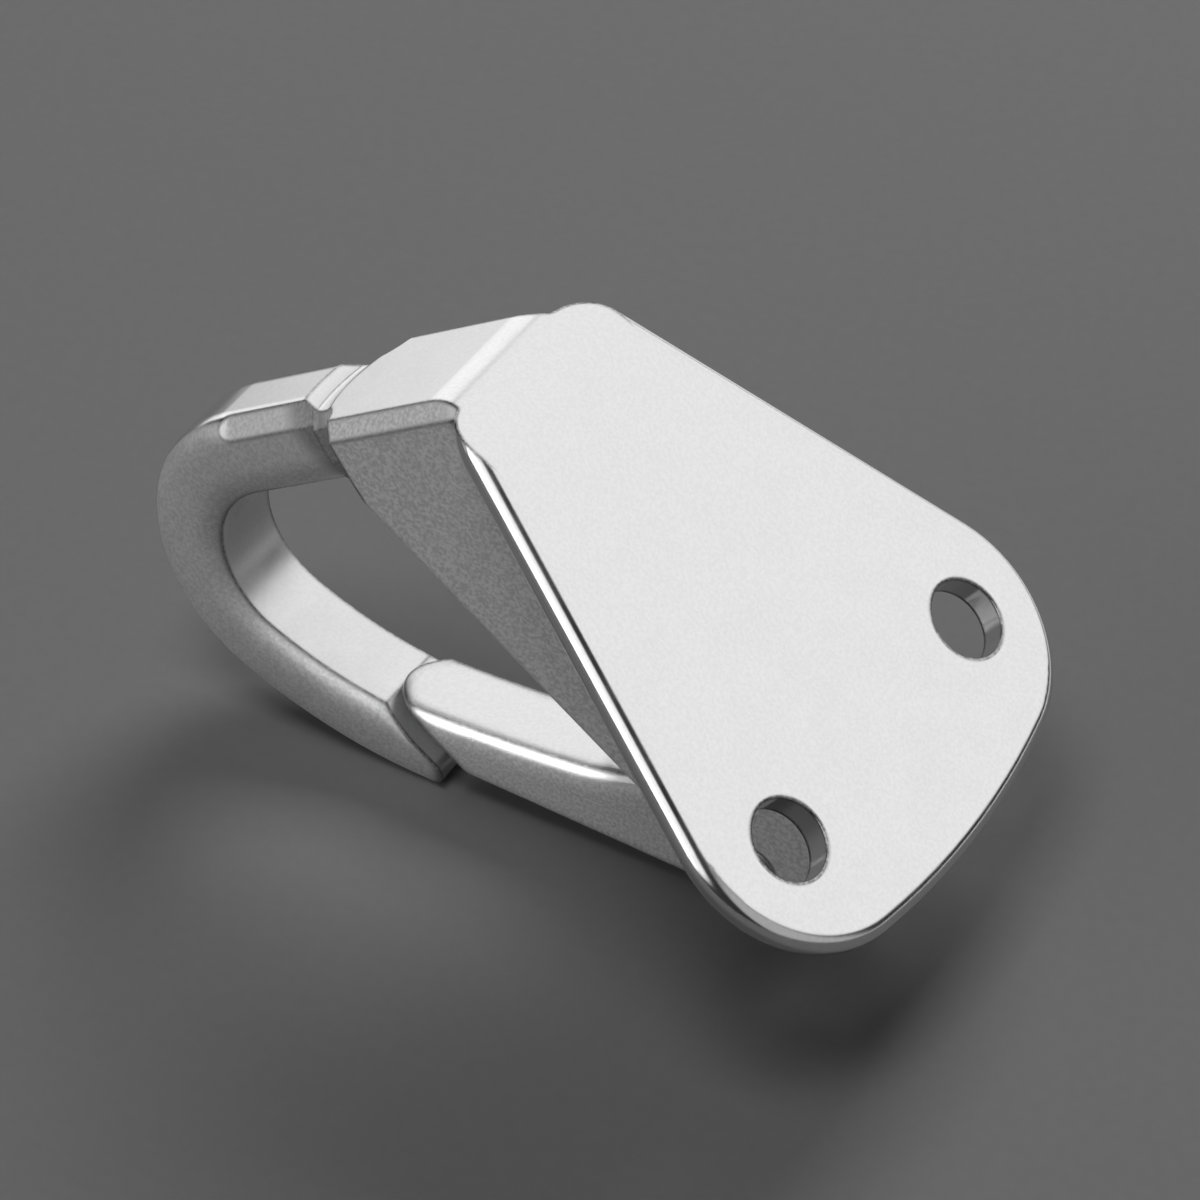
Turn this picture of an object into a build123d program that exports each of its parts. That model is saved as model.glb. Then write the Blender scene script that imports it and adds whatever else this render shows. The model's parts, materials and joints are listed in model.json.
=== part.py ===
"""Fender hook: a one-piece stainless hook with a lacing plate, and a sprung gate on a riveted pin.

Every piece is drawn upright, in the plate's own frame:
  x  out of the plate's front face (the hook is behind it, at negative x)
  y  across the plate
  z  up the plate, from the line between the two lacing holes
and then laid back, so that the hook stands on the flat backs of its nose and of the gate's heel.
"""
import os
from math import asin, cos, degrees, radians, sin, tan

from build123d import *

os.makedirs("parts", exist_ok=True)

# ---------------------------------------------------------------- driving dimensions (mm, degrees)
# lacing plate
PLATE_T = 2.4            # thickness
PLATE_HALF_W = 22.7      # half width on the line of the holes
PLATE_TAPER = 19.6       # each side leans in by this angle towards the top
PLATE_CORNER_R = 11.2    # large bottom corners
PLATE_DROP = 11.1        # lowest point of the bottom edge below the holes
PLATE_BOW_R = 70.0       # the bottom edge is slightly bowed
PLATE_TOP = 38.6         # height of the narrow end
PLATE_TOP_R = 6.5        # its smaller corners
EDGE_R = 1.1             # full rounded edges
HOLE_D = 6.5             # lacing holes
HOLE_SPACING = 27.4

# block and spine behind the plate
SPINE_HALF_W = 7.0
SPINE_DEPTH = 17.3       # inner wall of the loop, behind the plate's front face
SPINE_LOW = -6.4         # lower end, around the gate's pin
SPINE_LOW_R = 4.0
BLOCK_END = 14.75        # where the block starts to narrow
BLOCK_CHAMFER = 1.3
TOP_SLOPE = 21.0         # the top rises towards the hook
BEND_R = 7.5             # the plate's front face rolls over into the top
ROOT_R = 1.2             # fillet between spine and plate
WALL_EDGE_R = 0.4        # the long edges that face into the loop

# hook: a D section swept along the inside line of the loop
BAR_H = 6.7              # height of the section
BAR_HALF_W = 4.15        # greatest half width
BAR_WIDEST = 2.4         # its height above the flat inner face
BAR_LOW_R = 3.65         # side, from the inner face to the widest point
BAR_SIDE_R = 16.0        # side above it, up to the shoulder
BAR_SHOULDER_AT = 9.5    # where the shoulder starts, as an angle on the side's arc
BAR_START = 18.5         # the section starts inside the block, measured on its inner face
FACET_DEPTH = 0.3        # ground facets on the shoulders of the straight run
FACET_LEAN = 42.0
FACET_LENGTH = 11.8      # from the section's start
FACET_WHEEL_R = 2.5      # then they run out on the path of the wheel
CROWN_R = 8.0            # inside radius of the crown
CROWN_X, CROWN_Z = -33.6, 36.3
LIMB_R = 32.0            # inside radius of the lower limb
LIMB_FROM, LIMB_TO = 10.0, 46.0
NECK_R = 3.6             # hollows on each side, from the block down to the bar
NECK_AT = 19.3           # where they reach the bar, along the slope of the top
NECK_FACES = (-20.0, 0.0, FACET_LEAN)   # the sides of the bar that they follow
NECK_DISH_R = 9.2        # the block's top ends at a curved edge, then a shallow groove rises to the bar
NECK_DISH_END = 17.0     # the curved edge's far point, behind the plate
NECK_GROOVE = ((0.7, -0.3), (1.7, -0.28))   # beyond the edge: the groove's bottom, and where it ends
NECK_RAMP = 3.0          # where the rise from there meets the bar's back

# lap: the nose ends in a slanted flat, and the gate's tongue has a rounded end
NOSE_END = 37.7
NOSE_TIP_R = 1.6
TONGUE_END = 37.4
TONGUE_R = 5.2

# gate, pin and spring
PIN_X, PIN_Z = -14.0, -2.0
PIN_D = 4.0
PIN_HALF_L = 6.9
PIN_FIT = 0.02           # on the diameter, in the spine
BORE_D = 4.12            # in the gate
GATE_HALF_W = 3.9
GATE_BACK_R = 1.7        # rounding of the long back edges
GATE_INNER_R = 3.1       # the inner ones are wider arcs, that meet the inner face at an angle
GATE_INNER_DEPTH = 2.1
GATE_TIP_CUT = 0.6       # chamfer around the tongue's rounded end
GATE_BOSS_R = 4.6
GATE_MIDDLE = (-24.5, 5.0)   # a point well inside its outline
HEEL_X, HEEL_Z = -18.2, -1.8
HEEL_LOW = (-22.28, -4.66)   # where the blade's back meets the heel's circle
BLADE_ROOT, BLADE_MID, BLADE_TIP = (-24.0, 10.1), (-30.4, 16.8), (-TONGUE_END, 25.3)   # inner face
BLADE_BACK_Z = 16.9          # the tongue's back corner, beyond the nose's flat
SLOT_HALF_W = 4.15
SLOT_CLEARANCE = 0.5         # around the boss
SPRING_WIRE = 0.8
SPRING_ID = 4.6
SPRING_PITCH = 0.95
SPRING_FULL_TURNS = 2
SPRING_FIRST, SPRING_LAST = 180.0, 317.0   # where its legs leave the coil
SPRING_LEG_IN = 6.2      # leg against the floor of the slot
SPRING_LEG_OUT = 7.5     # leg inside the gate
POCKET_HALF_W = 2.1
POCKET_R = 3.65

# how it stands: the floor's line leans from the plate, and grazes the backs of the nose and the heel
REST_ANGLE = 38.3
FLOOR_REACH = 21.0       # from the line of the holes to the floor, square to it
HEEL_R = FLOOR_REACH + HEEL_X * cos(radians(REST_ANGLE)) + HEEL_Z * sin(radians(REST_ANGLE))


# ---------------------------------------------------------------- helpers
def side_solid(points, half_width):
    """An outline of (x, z) points on the plane of the loop, given its width."""
    face = make_face(Polyline(*[(x, 0, z) for x, z in points], close=True))
    return extrude(face, amount=half_width, dir=(0, 1, 0), both=True)


def across(radius, x, z, half_width):
    """A cylinder that runs across the hook."""
    return Pos(x, 0, z) * Rot(90, 0, 0) * Cylinder(radius, 2 * half_width)


def sharp_corner(corner, toward_a, toward_b, radius, half_width):
    """What rounding takes off a corner, given as (x, z), between faces that run along two unit rays."""
    corner, toward_a, toward_b = Vector(*corner), Vector(*toward_a), Vector(*toward_b)
    half_angle = radians(toward_a.get_angle(toward_b) / 2)
    centre = corner + (toward_a + toward_b).normalized() * (radius / sin(half_angle))
    touch_a = corner + toward_a * (radius / tan(half_angle))
    touch_b = corner + toward_b * (radius / tan(half_angle))
    spill = (corner - centre).normalized() * 3
    outline = [centre, centre + (touch_a - centre) * 1.5, corner + spill, centre + (touch_b - centre) * 1.5]
    block = side_solid([(p.X, p.Y) for p in outline], half_width)
    return block - across(radius, centre.X, centre.Y, half_width + 1)


def slope_z(x, at_plate):
    """Height of a line that rises towards the hook at the slope of the top."""
    return at_plate - x * tan(radians(TOP_SLOPE))


def bar_under(x):
    """Height of the bar's underside, which is tangent to the crown."""
    return slope_z(x, CROWN_Z + CROWN_R / cos(radians(TOP_SLOPE)) + CROWN_X * tan(radians(TOP_SLOPE)))


# the block's top above that line, square to it
BLOCK_RISE = (slope_z(0, PLATE_TOP) - bar_under(0)) * cos(radians(TOP_SLOPE))


def floor_side(depth=12):
    """What would lie below the floor."""
    lean = radians(REST_ANGLE)
    reach = FLOOR_REACH + depth / 2
    return Pos(-reach * cos(lean), 0, -reach * sin(lean)) * Rot(0, -REST_ANGLE, 0) * Box(depth, 40, 160)


# ---------------------------------------------------------------- lacing plate
def plate_outline():
    lean = tan(radians(PLATE_TAPER))
    low_z = -PLATE_DROP - 12
    high_z = slope_z(-PLATE_T, PLATE_TOP)
    top_w = PLATE_HALF_W - lean * high_z
    low_w = PLATE_HALF_W - lean * low_z
    trapezium = Polyline((-top_w, high_z), (top_w, high_z), (low_w, low_z), (-low_w, low_z), close=True)
    face = make_face(trapezium) & (Pos(0, PLATE_BOW_R - PLATE_DROP) * Circle(PLATE_BOW_R))
    face = fillet(face.vertices().sort_by(Axis.Y)[:2], PLATE_CORNER_R)
    return fillet(face.vertices().sort_by(Axis.Y)[-2:], PLATE_TOP_R)


def plate():
    body = extrude(Plane.YZ * plate_outline(), amount=-PLATE_T)
    return fillet(body.faces().filter_by(Axis.X).edges(), EDGE_R)


def bend_cut():
    """What lies above the top, and what the roll of the plate's front face into it takes off."""
    rise = (-cos(radians(TOP_SLOPE)), sin(radians(TOP_SLOPE)))
    above = [(1, PLATE_TOP), (0, PLATE_TOP), (-8, slope_z(-8, PLATE_TOP)), (-8, 48), (1, 48)]
    return sharp_corner((0, PLATE_TOP), (0, -1), rise, BEND_R, 30) + side_solid(above, 30)


# ---------------------------------------------------------------- block, spine and neck
def spine():
    inner, step = -SPINE_DEPTH, -BLOCK_END
    body = side_solid(
        [
            (-PLATE_T / 2, SPINE_LOW),
            (inner, SPINE_LOW),
            (inner, bar_under(inner) + 0.02),
            (step, bar_under(inner) + 0.02),
            (step, slope_z(step, PLATE_TOP)),
            (0, PLATE_TOP),
            (0, PLATE_TOP - 10),
            (-PLATE_T / 2, PLATE_TOP - 12),
        ],
        SPINE_HALF_W,
    )
    rise = Vector(-cos(radians(TOP_SLOPE)), 0, sin(radians(TOP_SLOPE)))
    top = [e for e in body.edges() if abs((e % 0.5).dot(rise)) > 0.9999]
    body = chamfer(ShapeList(top), BLOCK_CHAMFER)
    low = body.edges().filter_by(Axis.Y).sort_by(Axis.Z)[:2].sort_by(Axis.X)[0]
    return fillet(low, SPINE_LOW_R)


def wall_edges():
    """What rounding takes off the long edges that face into the loop."""
    size = WALL_EDGE_R + 0.3
    both = None
    for y in (-1, 1):
        x, y = -SPINE_DEPTH + WALL_EDGE_R, y * (SPINE_HALF_W - WALL_EDGE_R)
        corner = Pos(x - size / 2, y + size / 2 * (1 if y > 0 else -1), 13.8) * Box(size, size, 49.6)
        corner -= Pos(x, y, 13.8) * Cylinder(WALL_EDGE_R, 60)
        both = corner if both is None else both + corner
    return both


def root_fillets():
    """Fills the corner between each side of the spine and the plate, and runs out near its top."""
    size = ROOT_R + 0.3
    flat = extrude(Plane.YZ * offset(plate_outline(), -EDGE_R), amount=-10)
    both = None
    for y in (-1, 1):
        corner = Pos(-PLATE_T + 0.3 - size / 2, y * (SPINE_HALF_W - 0.3 + size / 2), 16) * Box(size, size, 44.8)
        corner -= Pos(-PLATE_T - ROOT_R, y * (SPINE_HALF_W + ROOT_R), 16) * Cylinder(ROOT_R, 50)
        corner &= flat
        both = corner if both is None else both + corner
    return both


def on_bar(along):
    """Section plane of the bar, at a distance from the plate along the slope of the top."""
    lean = radians(TOP_SLOPE)
    x = -along * cos(lean) - BLOCK_RISE * sin(lean)
    z = PLATE_TOP + along * sin(lean) - BLOCK_RISE * cos(lean)
    return Plane(origin=(x, 0, z), x_dir=(0, -1, 0), z_dir=(-cos(lean), 0, sin(lean)))


def section_reach(angle):
    """How far the bar's section reaches in a direction, from the middle of its inner face."""
    x, y, radius = shoulder_circle()
    across_it, up = cos(radians(angle)), sin(radians(angle))
    if angle > BAR_SHOULDER_AT:
        return x * across_it + y * up + radius - FACET_DEPTH
    return (BAR_HALF_W - BAR_LOW_R) * across_it + BAR_WIDEST * up + BAR_LOW_R


def neck_hollows():
    """One cutter's round path over each side of the bar, and its twin on the other side."""
    cuts = None
    for angle in NECK_FACES:
        lift = section_reach(angle) + NECK_R
        cutter = Rot(0, 0, angle) * Pos(lift, 0, 0) * Rot(90, 0, 0) * Cylinder(NECK_R, 30)
        cuts = cutter if cuts is None else cuts + cutter
    cuts = cuts + mirror(cuts, Plane.YZ)
    return on_bar(NECK_AT) * cuts


def neck_dish():
    """Trims the neck's top: a groove beyond the block's curved edge, that rises to the bar's back."""
    edge, far = (NECK_DISH_R, 0), NECK_DISH_R + 14
    groove = ThreePointArc(edge, *[(NECK_DISH_R + out, up) for out, up in NECK_GROOVE])
    ramp_end = (NECK_DISH_R + NECK_RAMP, BAR_H - BLOCK_RISE + 0.02)
    rest = Polyline(groove @ 1, ramp_end, (far, 3), (far, 10), (0, 10), (0, 0), edge)
    tool = revolve(Plane.XZ * make_face(Wire([groove.edge(), *rest.edges()])), Axis.Z)
    crease = Pos(-NECK_DISH_END, 0, slope_z(-NECK_DISH_END, PLATE_TOP)) * Rot(0, TOP_SLOPE, 0)
    return crease * Pos(NECK_DISH_R, 0, 0) * tool


def neck():
    """Carries the block on, along the bar. The hollows then take its width down to the bar's."""
    start = (BLOCK_END - BLOCK_RISE * sin(radians(TOP_SLOPE))) / cos(radians(TOP_SLOPE)) - 0.2
    rise, shoulder = BAR_H - 0.02, BLOCK_RISE - BLOCK_CHAMFER
    edge = SPINE_HALF_W - BLOCK_CHAMFER - (rise - BLOCK_RISE)
    half = [(0, 0.02), (SPINE_HALF_W, 0.02), (SPINE_HALF_W, shoulder), (edge, rise), (0, rise)]
    section = make_face(Polyline(*half, close=True))
    section += mirror(section, Plane.YZ)
    return extrude(on_bar(start) * section, amount=NECK_AT + 0.6 - start)


def gate_slot():
    """The slot in the spine that the gate's root turns in."""
    floor = PIN_X + GATE_BOSS_R + SLOT_CLEARANCE
    outline = [(floor, -14), (floor, 0.5), (-16.2, 15), (-17.3, 17.2), (-30, 17.2), (-30, -14)]
    return side_solid(outline, SLOT_HALF_W)


# ---------------------------------------------------------------- hook bar
def shoulder_circle():
    """Centre and radius of the shoulder: tangent to the side's arc and to the flat back."""
    lean = radians(BAR_SHOULDER_AT)
    radius = (BAR_H - BAR_WIDEST - BAR_SIDE_R * sin(lean)) / (1 - sin(lean))
    return BAR_HALF_W - BAR_SIDE_R + (BAR_SIDE_R - radius) * cos(lean), BAR_H - radius, radius


def bar_section():
    """D section: flat inner face, rounded sides and shoulders, and a flat back."""
    x, y, radius = shoulder_circle()
    low_turn = degrees(asin(BAR_WIDEST / BAR_LOW_R))
    low = CenterArc((BAR_HALF_W - BAR_LOW_R, BAR_WIDEST), BAR_LOW_R, -low_turn, low_turn)
    side = CenterArc((BAR_HALF_W - BAR_SIDE_R, BAR_WIDEST), BAR_SIDE_R, 0, BAR_SHOULDER_AT)
    shoulder = CenterArc((x, y), radius, BAR_SHOULDER_AT, 90 - BAR_SHOULDER_AT)
    flats = [Line((0, 0), low @ 0), Line(shoulder @ 1, (0, BAR_H)), Line((0, BAR_H), (0, 0))]
    half = make_face(Wire([low.edge(), side.edge(), shoulder.edge(), *[line.edge() for line in flats]]))
    return half + mirror(half, Plane.YZ)


def facet_cuts():
    """What grinding takes off both shoulders, on a section that looks along +Z."""
    x, y, radius = shoulder_circle()
    wheel = Pos(FACET_WHEEL_R, 0, FACET_LENGTH) * Rot(90, 0, 0) * Cylinder(FACET_WHEEL_R, 8)
    flat = Pos(FACET_WHEEL_R, 0, FACET_LENGTH / 2) * Box(2 * FACET_WHEEL_R, 8, FACET_LENGTH)
    cut = Pos(x, y) * Rot(0, 0, FACET_LEAN) * Pos(radius - FACET_DEPTH, 0, 0) * (flat + wheel)
    return cut + mirror(cut, Plane.YZ)


def crown_point(angle):
    return (CROWN_X - CROWN_R * cos(radians(angle)), 0, CROWN_Z + CROWN_R * sin(radians(angle)))


def limb_point(angle):
    """On the inside line of the lower limb, whose arc runs on from the crown's."""
    cx = CROWN_X + (LIMB_R - CROWN_R) * cos(radians(LIMB_FROM))
    cz = CROWN_Z + (LIMB_R - CROWN_R) * sin(radians(LIMB_FROM))
    return (cx - LIMB_R * cos(radians(angle)), 0, cz - LIMB_R * sin(radians(angle)))


def hook_bar():
    start = (-BAR_START, 0, bar_under(-BAR_START))
    crown_top = crown_point(90 + TOP_SLOPE)
    path = Wire(
        [
            Line(start, crown_top),
            ThreePointArc(crown_top, crown_point(50), crown_point(-LIMB_FROM)),
            ThreePointArc(limb_point(LIMB_FROM), limb_point(28), limb_point(LIMB_TO)),
        ]
    )
    face_out = Plane(origin=start, x_dir=(0, -1, 0), z_dir=path % 0)
    bar = sweep(face_out * bar_section(), path)
    bar -= face_out * facet_cuts()
    bar -= Pos(-NOSE_END + 20, 0, 10) * Box(40, 30, 48)
    bar -= floor_side()
    lean = radians(REST_ANGLE)
    point = (-NOSE_END, (NOSE_END * cos(lean) - FLOOR_REACH) / sin(lean))
    return bar - sharp_corner(point, (0, 1), (-sin(lean), cos(lean)), NOSE_TIP_R, 10)


def hook_body():
    dish = neck_dish()
    body = spine() + neck()
    body = body - neck_hollows() - dish - wall_edges()
    body += plate()
    body -= bend_cut()
    body += root_fillets()
    body += hook_bar() - dish
    body -= gate_slot()
    body -= across((PIN_D + PIN_FIT) / 2, PIN_X, PIN_Z, 20)
    for y in (-HOLE_SPACING / 2, HOLE_SPACING / 2):
        body -= Pos(-PLATE_T / 2, y, 0) * Rot(0, 90, 0) * Cylinder(HOLE_D / 2, 2 * PLATE_T)
    return body


# ---------------------------------------------------------------- gate
def gate_outline():
    """Side view in (x, z): the blade, the heel that the hook stands on, and the boss around the pin."""
    inner_face = ThreePointArc(BLADE_ROOT, BLADE_MID, BLADE_TIP)
    rest = Polyline(BLADE_TIP, (-TONGUE_END, BLADE_BACK_Z), HEEL_LOW, BLADE_ROOT)
    blade = make_face(Wire([inner_face, *rest.edges()]))
    boss = Pos(PIN_X, PIN_Z) * Rot(0, 0, 180) * Edge.make_circle(GATE_BOSS_R)
    heel = Pos(HEEL_X, HEEL_Z) * Edge.make_circle(HEEL_R)
    chord = Edge.make_line(BLADE_ROOT, (-24.3, 9.6))
    outline = blade + make_hull([boss, heel, chord])
    for corner, radius in ((BLADE_ROOT, 18), ((-23.93, -2.31), 9)):
        outline = fillet(outline.vertices().sort_by_distance((*corner, 0))[0], radius)
    return outline


def gate_pocket():
    """Room for the spring: round the pin, open towards the floor of the slot, and a groove for one leg."""
    round_pin = across(POCKET_R, PIN_X, PIN_Z, POCKET_HALF_W)
    reach = [(10 * cos(radians(a)), 10 * sin(radians(a))) for a in (72, 125, 190)]
    window = side_solid([(PIN_X, PIN_Z), *[(PIN_X - p, PIN_Z + q) for p, q in reach]], POCKET_HALF_W)
    length = SPRING_LEG_OUT + 1
    coil_r = (SPRING_ID + SPRING_WIRE) / 2
    groove = Pos(length / 2, 0, coil_r - 0.15) * Box(length, 2 * POCKET_HALF_W, 1.3)
    groove = Pos(PIN_X, 0, PIN_Z) * Rot(0, SPRING_LAST - 90, 0) * groove
    return round_pin + window + groove


def rounding(edges, radius, depth):
    """What rounding takes off both sides of the gate along edges of its outline, down to a depth."""
    path = Wire(edges)
    start, along = path @ 0, path % 0
    inward = along.cross(Vector(0, 1, 0))
    side = 1 if inward.dot(Vector(GATE_MIDDLE[0], 0, GATE_MIDDLE[1]) - start) > 0 else -1
    spill = 0.5
    wide, tall = radius + spill, depth + spill
    square = Pos(GATE_HALF_W - radius + wide / 2, side * (tall / 2 - spill)) * Rectangle(wide, tall)
    square -= Pos(GATE_HALF_W - radius, side * depth) * Circle(radius)
    section = square + mirror(square, Plane.YZ)
    return sweep(Plane(origin=start, x_dir=(0, 1, 0), z_dir=along) * section, path)


def gate():
    side_view = Plane.XZ * gate_outline()
    body = extrude(side_view, amount=GATE_HALF_W, both=True)
    end = Pos(TONGUE_R - TONGUE_END, 0, 20)
    body -= Pos(-TONGUE_END, 0, 20) * Box(4, 20, 30) - end * Cylinder(TONGUE_R, 40)
    tip = [e for e in body.edges() if e.center().X < -36 and e.geom_type != GeomType.LINE]
    body = chamfer(ShapeList(tip), GATE_TIP_CUT)
    across_corner = {e: e.center().X + e.center().Z for e in side_view.edges()}
    back = [e for e, total in across_corner.items() if total < -22.5]
    inner = [e for e, total in across_corner.items() if total > -14.5 and e.center().Z > 0]
    body -= rounding(back, GATE_BACK_R, GATE_BACK_R)
    body -= rounding(inner, GATE_INNER_R, GATE_INNER_DEPTH)
    body -= across(BORE_D / 2, PIN_X, PIN_Z, GATE_HALF_W + 1)
    return body - gate_pocket()


# ---------------------------------------------------------------- pin and spring
def gate_pin():
    body = across(PIN_D / 2, PIN_X, PIN_Z, PIN_HALF_L)
    return chamfer(body.edges().filter_by(GeomType.CIRCLE), 0.35)


def gate_spring():
    """Torsion spring: a close coil around the pin, one leg on the slot's floor and one in the gate."""
    coil_r = (SPRING_ID + SPRING_WIRE) / 2
    turns = SPRING_FULL_TURNS + (SPRING_LAST - SPRING_FIRST) / 360
    length = turns * SPRING_PITCH
    line = Rot(0, 0, SPRING_FIRST) * Helix(SPRING_PITCH, length, coil_r)
    wire = Plane(origin=line @ 0, z_dir=line % 0) * RegularPolygon(SPRING_WIRE / 2, 6)
    coil = sweep(wire, line, is_frenet=True)
    low, high = coil.faces().filter_by(GeomType.PLANE).sort_by(Axis.Z)
    body = coil
    for end, way, leg in ((low, (line % 0) * -1, SPRING_LEG_IN), (high, line % 1, SPRING_LEG_OUT)):
        body += extrude(end, amount=leg, dir=Vector(way.X, way.Y, 0).normalized())
    centred = Pos(0, 0, -length / 2) * body
    return Plane(origin=(PIN_X, 0, PIN_Z), x_dir=(-1, 0, 0), z_dir=(0, 1, 0)) * centred


# ---------------------------------------------------------------- build, lay back and write
def main():
    pieces = {"hook_body": hook_body(), "gate": gate(), "gate_pin": gate_pin(), "gate_spring": gate_spring()}
    lay_back = Pos(0, 0, FLOOR_REACH) * Rot(0, REST_ANGLE - 90, 0)
    pieces = {name: lay_back * piece for name, piece in pieces.items()}
    box = pieces["hook_body"].bounding_box()
    centre = Pos(-box.center().X, -box.center().Y, 0)
    for name, piece in pieces.items():
        piece = centre * piece
        bounds = piece.bounding_box()
        print(name, len(piece.solids()), round(piece.volume, 1), bounds.min, bounds.max)
        export_step(piece, f"parts/{name}.step")


if __name__ == "__main__":
    main()
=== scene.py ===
import json
from math import cos, pi, radians

import bpy
from mathutils import Matrix, Vector


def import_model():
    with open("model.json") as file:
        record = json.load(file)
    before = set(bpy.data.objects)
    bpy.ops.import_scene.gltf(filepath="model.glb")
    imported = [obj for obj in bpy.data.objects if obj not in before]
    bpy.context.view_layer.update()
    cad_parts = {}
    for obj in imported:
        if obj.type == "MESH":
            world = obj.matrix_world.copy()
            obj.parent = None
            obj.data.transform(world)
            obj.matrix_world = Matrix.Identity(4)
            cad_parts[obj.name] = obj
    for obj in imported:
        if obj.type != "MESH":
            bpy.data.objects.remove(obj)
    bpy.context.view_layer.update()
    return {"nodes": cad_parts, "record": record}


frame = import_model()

MM = 0.001

# The plate's outward normal, and a point in the middle of its thickness, come from the lacing holes.
holes = [m for m in frame["record"]["mounts"] if m["name"].startswith("lacing_hole")]
OUT = Vector(holes[0]["axis"]).normalized()
PLATE_MIDDLE = sum((Vector(m["pos_m"]) for m in holes), Vector()) / len(holes)

# ---------------------------------------------------------------- studio
FLOOR_SIZE = 4               # m
FLOOR_GREY = 0.18
# Painted light: the floor's colour turns paler away from the object, as a brighter room for metal to mirror.
FLOOR_FAR = 0.42             # the floor is paler far from the object
FLOOR_FADE = (0.2, 0.6)      # m, where that starts and ends
FLOOR_GRAIN = (0.96, 1.04)
FLOOR_GRAIN_SIZE = 1 / 900   # m
# Painted reflection: how pale the floor behind the object glows for glossy rays, and where that glow fades
# in.
FLOOR_MIRRORED = 0.9         # what metal shows of the floor behind
MIRRORED_FADE = (0.05, 0.22)
CAMERA_AIM = Vector((2.3, 2.2, 20.7)) * MM
CAMERA_AZIMUTH = 32.6        # degrees, about the vertical
CAMERA_ELEVATION = 41.5
CAMERA_ROLL = 2.2
CAMERA_DISTANCE = 344.4 * MM
CAMERA_LENS = 135.0          # mm, on a 36 mm sensor

# What metal mirrors: a dim room with soft panels. Each is a middle direction, the angles in degrees where it
# is full and where it ends, and its brightness.
ROOM_DIM = 0.03
PANELS = (
    ((0.04, 0.65, 0.75), 42, 50, 1.0),      # large, over the back
    ((-0.775, 0.631, 0.06), 16, 26, 1.15),  # back left, down to the floor
    ((-0.25, -0.72, 0.65), 26, 38, 1.15),   # front left
    ((-0.92, -0.36, 0.12), 13, 24, 0.58),   # left
    ((0.95, -0.1, 0.3), 24, 38, 0.45),      # right
    ((0.0, -0.25, 1.0), 13, 18, 0.85),      # the face of the lamp overhead
)
PANEL_GLOW = 0.03            # how much of that lights what isn't metal
# Lamps: direction, distance and size in m, the brightness of its face, and whether metal shows it.
LAMPS = {
    "key": ((0.0, -0.25, 1.0), 0.7, 0.28, 6.3, False),
    "back": ((-0.1, 0.75, 0.66), 0.7, 0.34, 8.6, False),
    "fill": ((-0.4, -0.8, 0.42), 0.7, 0.45, 1.25, True),
}


def camera():
    data = bpy.data.cameras.new("camera")
    data.lens = CAMERA_LENS
    data.sensor_width = 36
    data.clip_start = 0.01
    item = bpy.data.objects.new("camera", data)
    turn = Matrix.Rotation(radians(CAMERA_AZIMUTH), 4, "Z")
    tilt = Matrix.Rotation(radians(90 - CAMERA_ELEVATION), 4, "X")
    roll = Matrix.Rotation(radians(-CAMERA_ROLL), 4, "Z")
    back = Matrix.Translation((0, 0, CAMERA_DISTANCE))
    item.matrix_world = Matrix.Translation(CAMERA_AIM) @ turn @ tilt @ roll @ back
    bpy.context.scene.collection.objects.link(item)
    bpy.context.scene.camera = item


def soft_box(name, toward, distance, size, radiance, mirrored):
    """A square lamp that looks at the object from a direction, with the brightness that its face has."""
    data = bpy.data.lights.new(name, "AREA")
    data.shape = "SQUARE"
    data.size = size
    data.energy = radiance * size * size * pi
    item = bpy.data.objects.new(name, data)
    toward = Vector(toward).normalized()
    turn = toward.to_track_quat("Z", "Y").to_matrix().to_4x4()
    item.matrix_world = Matrix.Translation(CAMERA_AIM + toward * distance) @ turn
    item.visible_camera = False
    item.visible_glossy = mirrored
    bpy.context.scene.collection.objects.link(item)


# ---------------------------------------------------------------- node helpers
def nodes_of(owner):
    owner.use_nodes = True
    tree = owner.node_tree
    tree.nodes.clear()
    return tree


def add(tree, kind, inputs=(), **settings):
    """Adds a shader node. Inputs are (socket, value or output socket) pairs."""
    node = tree.nodes.new(kind)
    for name, value in settings.items():
        setattr(node, name, value)
    for socket, value in inputs:
        if isinstance(value, bpy.types.NodeSocket):
            tree.links.new(value, node.inputs[socket])
        else:
            node.inputs[socket].default_value = value
    return node


def grey(value):
    return (value, value, value, 1)


def ramp(tree, value, low, high, to_low=0.0, to_high=1.0):
    """Maps a value smoothly from one range to another, and holds it at the ends."""
    node = add(tree, "ShaderNodeMapRange", [("Value", value), ("From Min", low), ("From Max", high),
                                            ("To Min", to_low), ("To Max", to_high)],
               interpolation_type="SMOOTHSTEP")
    return node.outputs["Result"]


def calc(tree, operation, first, *others):
    """Applies an operation of the Math node to one value, or from left to right over more."""
    if not others:
        return add(tree, "ShaderNodeMath", [(0, first)], operation=operation).outputs[0]
    for other in others:
        first = add(tree, "ShaderNodeMath", [(0, first), (1, other)], operation=operation).outputs[0]
    return first


def mix(tree, factor, low, high):
    """A number between two. It needs no node where all three are plain."""
    if isinstance(factor, float) and isinstance(low, float) and isinstance(high, float):
        return low + (high - low) * factor
    return add(tree, "ShaderNodeMix", [("Factor", factor), (2, low), (3, high)]).outputs[0]


def dot(tree, one, other):
    node = add(tree, "ShaderNodeVectorMath", [(0, one), (1, other)], operation="DOT_PRODUCT")
    return node.outputs["Value"]


def component(tree, vector, axis):
    return add(tree, "ShaderNodeSeparateXYZ", [("Vector", vector)]).outputs[axis]


def noise(tree, coords, size, detail=2.0):
    node = add(tree, "ShaderNodeTexNoise", [("Vector", coords), ("Scale", 1 / size), ("Detail", detail)])
    return node.outputs["Fac"]


def finish(tree, shader, kind="ShaderNodeOutputMaterial"):
    out = add(tree, kind)
    tree.links.new(shader.outputs[0], out.inputs["Surface"])


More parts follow.
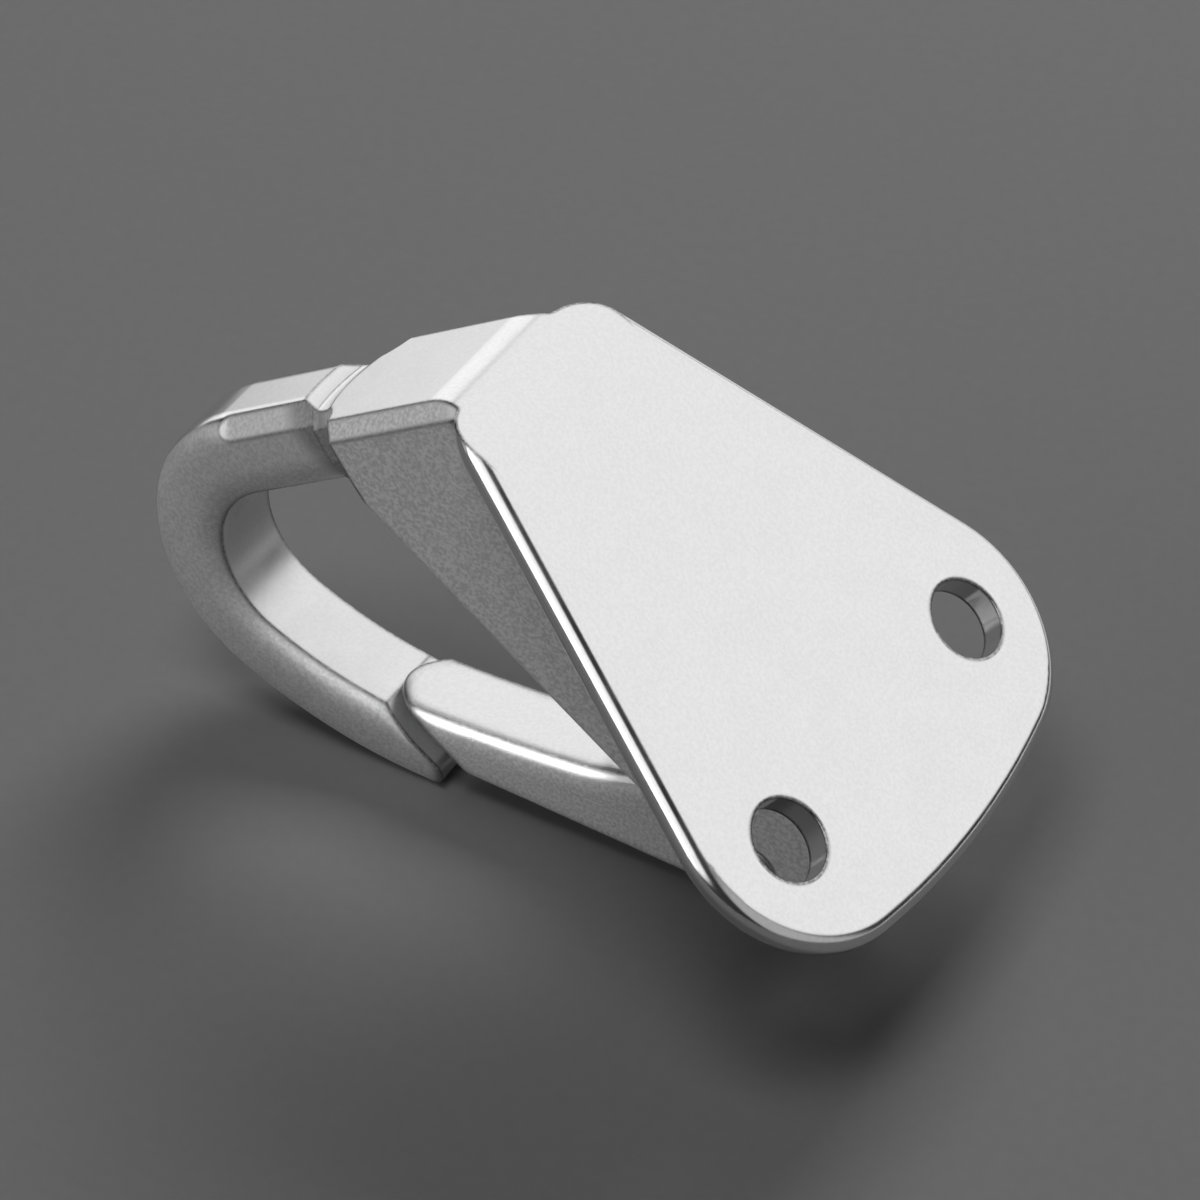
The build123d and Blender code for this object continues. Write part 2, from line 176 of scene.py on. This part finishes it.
# ---------------------------------------------------------------- room and floor
def world():
    """The room and its panels. The camera sees it as plain as the floor."""
    item = bpy.data.worlds.new("studio")
    bpy.context.scene.world = item
    # The panels are found only by rays that leave a surface, and each of those is glossy or isn't.
    item.cycles.sampling_method = "NONE"
    tree = nodes_of(item)
    coords = add(tree, "ShaderNodeTexCoord")
    light = ROOM_DIM
    for middle, full, end, brightness in PANELS:
        facing = dot(tree, coords.outputs["Generated"], Vector(middle).normalized())
        panel = ramp(tree, facing, cos(radians(end)), cos(radians(full)), 0.0, brightness)
        light = calc(tree, "MAXIMUM", light, panel)
    path = add(tree, "ShaderNodeLightPath")
    share = ramp(tree, path.outputs["Is Glossy Ray"], 0.0, 1.0, PANEL_GLOW, 1.0)
    room = add(tree, "ShaderNodeBackground", [("Color", grey(1)),
                                              ("Strength", calc(tree, "MULTIPLY", light, share))])
    plain = add(tree, "ShaderNodeBackground", [("Color", grey(FLOOR_GREY)), ("Strength", 1.0)])
    seen = add(tree, "ShaderNodeMixShader", [("Fac", path.outputs["Is Camera Ray"]), (1, room.outputs[0]),
                                             (2, plain.outputs[0])])
    finish(tree, seen, "ShaderNodeOutputWorld")


def floor():
    bpy.ops.mesh.primitive_plane_add(size=FLOOR_SIZE)
    item = bpy.context.object
    item.name = "floor"
    material = bpy.data.materials.new("floor_grey")
    tree = nodes_of(material)
    place = add(tree, "ShaderNodeTexCoord").outputs["Object"]
    grain = ramp(tree, noise(tree, place, FLOOR_GRAIN_SIZE, 3.0), 0.0, 1.0, *FLOOR_GRAIN)
    # Painted light: the floor's colour is paler away from the object.
    away = add(tree, "ShaderNodeVectorMath", [(0, place)], operation="LENGTH").outputs["Value"]
    tone = calc(tree, "MULTIPLY", ramp(tree, away, *FLOOR_FADE, FLOOR_GREY, FLOOR_FAR), grain)
    matt = add(tree, "ShaderNodeBsdfPrincipled", [("Base Color", tone), ("Roughness", 0.9),
                                                  ("Specular IOR Level", 0.2)])
    # Painted reflection: for glossy rays the floor behind the object glows as pale as the panels, so metal
    # shows it pale.
    glossy = add(tree, "ShaderNodeLightPath").outputs["Is Glossy Ray"]
    pale = add(tree, "ShaderNodeEmission", [("Color", grey(FLOOR_MIRRORED))])
    behind = calc(tree, "MULTIPLY", glossy, ramp(tree, component(tree, place, "Y"), *MIRRORED_FADE))
    finish(tree, add(tree, "ShaderNodeMixShader", [("Fac", behind), (1, matt.outputs[0]),
                                                   (2, pale.outputs[0])]))
    item.data.materials.append(material)


# ---------------------------------------------------------------- finishes
BODY_METAL = 0.78            # base colours
PIN_METAL = 0.7
SPRING_METAL = 0.65
POLISHED = 0.16              # roughness
DRAWN = 0.25                 # roughness of the pin and the spring's wire
UNEVEN = 0.03                # how much the roughness varies
EDGE_SOFTNESS = 0.35 * MM
BAR_SOFTNESS = 2.0 * MM      # where the bar's sides turn to its top and bottom
GATE_SOFTNESS = 1.6 * MM
WAVE_SIZE = 3.3 * MM         # of the faint unevenness
WAVE_DEPTH = 0.004 * MM
GRAIN_SIZE = 0.3 * MM        # of the tumbled grain
GRAIN_DEPTH = 0.008 * MM
POLISHED_GRAIN = 0.15        # how much of the grain is left after polishing
POLISHED_TONES = (0.97, 1.03)   # how the grain varies the tone
GROUND_TONES = (0.8, 1.15)   # the same where it is left as tumbled
GROUND_ROUGH = 0.55
GROUND_METAL = 0.25
BAR_GROUND = 0.6             # how much of that the bar's sides have
WIRE_GROUND = 0.6            # and the pin and the spring
CROWN_ROUGH = 0.36
# Painted shade: a dark colour laid along edges, in hollows, and on the undersides of rounded sides.
PAINTED_SHADE = 0.15                 # its base colour
SHADE_SPOTS = ((0.35, 0.6), (0.6, 1.0))   # how the grain breaks it up
LINE_WIDTH = 0.55 * MM
LINE_TURN = (0.9995, 0.985)  # cosines of the turn at an edge, where a line starts and is full
LINE_DARK = 0.85
HOLLOW_REACH = 2.5 * MM
HOLLOW_OPEN = (0.92, 0.72)   # how open a hollow is, where grime starts and is full
UNDER_TURN = (0.995, 0.88)
UNDER_UP = (0.5, 0.2)        # how far it faces up
UNDER_DARK = 1.3
NECK_DARK = 0.7

# How far a face points sideways, from 0 to 1: where a finish starts and where it is full.
GROUND_SIDES = (0.35, 0.6)
SOFT_SIDES = (0.3, 0.7)
NECK_SIDES = (0.2, 0.5)
GATE_SIDES = (0.85, 0.99)
# The same by the distance behind the middle of the plate.
GROUND_AT = (1.6 * MM, 2.6 * MM)
BAR_AT = (16.5 * MM, 18.5 * MM)
SOFT_AT = (25 * MM, 30 * MM)
CROWN_AT = (31 * MM, 39 * MM)
NECK_AT = (15.2 * MM, 17.2 * MM)
NECK_END = (21 * MM, 18.8 * MM)
NECK_HEIGHT = (14 * MM, 20 * MM)   # above the floor


def sideways(tree, normal, start, full):
    return ramp(tree, calc(tree, "ABSOLUTE", component(tree, normal, "Y")), start, full)


def behind_plate(tree, coords):
    offset = add(tree, "ShaderNodeVectorMath", [(0, coords.outputs["Object"]), (1, PLATE_MIDDLE)],
                 operation="SUBTRACT")
    return dot(tree, offset.outputs[0], -OUT)


def body_softness(tree, coords):
    """The bar's section is rounder than its solid's."""
    side = sideways(tree, coords.outputs["Normal"], *SOFT_SIDES)
    bar = ramp(tree, behind_plate(tree, coords), *SOFT_AT)
    return mix(tree, calc(tree, "MULTIPLY", side, bar), EDGE_SOFTNESS, BAR_SOFTNESS)


def body_ground(tree, coords, _rounded):
    """1 on the sides and chamfers of the block and the spine, left as tumbled, and less on the bar's."""
    behind = behind_plate(tree, coords)
    side = sideways(tree, coords.outputs["Normal"], *GROUND_SIDES)
    return calc(tree, "MULTIPLY", side, ramp(tree, behind, *GROUND_AT),
                ramp(tree, behind, *BAR_AT, 1.0, BAR_GROUND))


def body_painted_shade(tree, coords):
    """More painted shade in the hollows on the neck's sides."""
    behind = behind_plate(tree, coords)
    side = sideways(tree, coords.outputs["Normal"], *NECK_SIDES)
    height = ramp(tree, component(tree, coords.outputs["Object"], "Z"), *NECK_HEIGHT)
    return calc(tree, "MULTIPLY", ramp(tree, behind, *NECK_AT), ramp(tree, behind, *NECK_END), side,
                height, NECK_DARK)


def gate_ground(tree, _coords, rounded):
    """1 on the flat sides, and 0 where they turn."""
    return sideways(tree, rounded, *GATE_SIDES)


# Painted shade: darkens the colour along edge bends, in occluded hollows and on undersides, broken up by the
# grain.
def painted_shade(tree, rounded, ground, grain, more):
    flat = add(tree, "ShaderNodeNewGeometry").outputs["Normal"]
    near = add(tree, "ShaderNodeBevel", [("Radius", LINE_WIDTH)], samples=8).outputs["Normal"]
    line = calc(tree, "MULTIPLY", ramp(tree, dot(tree, near, flat), *LINE_TURN), LINE_DARK)
    room = add(tree, "ShaderNodeAmbientOcclusion", [("Distance", HOLLOW_REACH)], samples=8, only_local=True)
    hollow = ramp(tree, room.outputs["AO"], *HOLLOW_OPEN)
    under = calc(tree, "MULTIPLY", ramp(tree, dot(tree, rounded, flat), *UNDER_TURN),
                 ramp(tree, component(tree, rounded, "Z"), *UNDER_UP), ground, UNDER_DARK)
    amount = calc(tree, "MAXIMUM", line, hollow, under, *more)
    (start, full), spots = SHADE_SPOTS
    return calc(tree, "MULTIPLY", amount, ramp(tree, grain, start, full, *spots))


def steel(name, base, rough, ground, softness=EDGE_SOFTNESS, more_shade=None):
    """Tumbled and polished steel. Ground is a mask, or a number, for where it is duller and grainier."""
    material = bpy.data.materials.new(name)
    tree = nodes_of(material)
    coords = add(tree, "ShaderNodeTexCoord")
    place = coords.outputs["Object"]
    softness = softness(tree, coords) if callable(softness) else softness
    rounded = add(tree, "ShaderNodeBevel", [("Radius", softness)], samples=8).outputs["Normal"]
    ground = ground(tree, coords, rounded) if callable(ground) else ground

    waves, grain = noise(tree, place, WAVE_SIZE), noise(tree, place, GRAIN_SIZE, 3.0)
    wavy = add(tree, "ShaderNodeBump", [("Height", waves), ("Distance", WAVE_DEPTH), ("Normal", rounded)])
    grainy = add(tree, "ShaderNodeBump", [("Height", grain), ("Distance", GRAIN_DEPTH),
                                          ("Strength", mix(tree, ground, POLISHED_GRAIN, 1.0)),
                                          ("Normal", wavy.outputs["Normal"])])

    clean = [ramp(tree, grain, 0.3, 0.7, low * base, high * base)
             for low, high in (POLISHED_TONES, GROUND_TONES)]
    # The painted shade darkens the clean tone along edges, in hollows and on undersides.
    more = [more_shade(tree, coords)] if more_shade else []
    tone = mix(tree, painted_shade(tree, rounded, ground, grain, more), mix(tree, ground, *clean), PAINTED_SHADE)
    uneven = ramp(tree, waves, 0.3, 0.7, -UNEVEN, UNEVEN)
    duller = ramp(tree, behind_plate(tree, coords), *CROWN_AT, rough, CROWN_ROUGH)
    roughness = calc(tree, "ADD", mix(tree, ground, duller, GROUND_ROUGH), uneven)
    finish(tree, add(tree, "ShaderNodeBsdfPrincipled", [("Base Color", tone), ("Roughness", roughness),
                                                        ("Metallic", mix(tree, ground, 1.0, GROUND_METAL)),
                                                        ("Normal", grainy.outputs["Normal"])]))
    return material


def dress(node, material):
    item = frame["nodes"][node]
    item.data.materials.clear()
    item.data.materials.append(material)


bpy.context.scene.view_settings.view_transform = "Standard"
camera()
world()
floor()
for name, lamp in LAMPS.items():
    soft_box(name, *lamp)
dress("hook_body", steel("body_steel", BODY_METAL, POLISHED, body_ground, body_softness, body_painted_shade))
dress("gate", steel("gate_steel", BODY_METAL, POLISHED, gate_ground, GATE_SOFTNESS))
dress("gate_pin", steel("pin_steel", PIN_METAL, DRAWN, WIRE_GROUND))
dress("gate_spring", steel("spring_steel", SPRING_METAL, DRAWN, WIRE_GROUND))
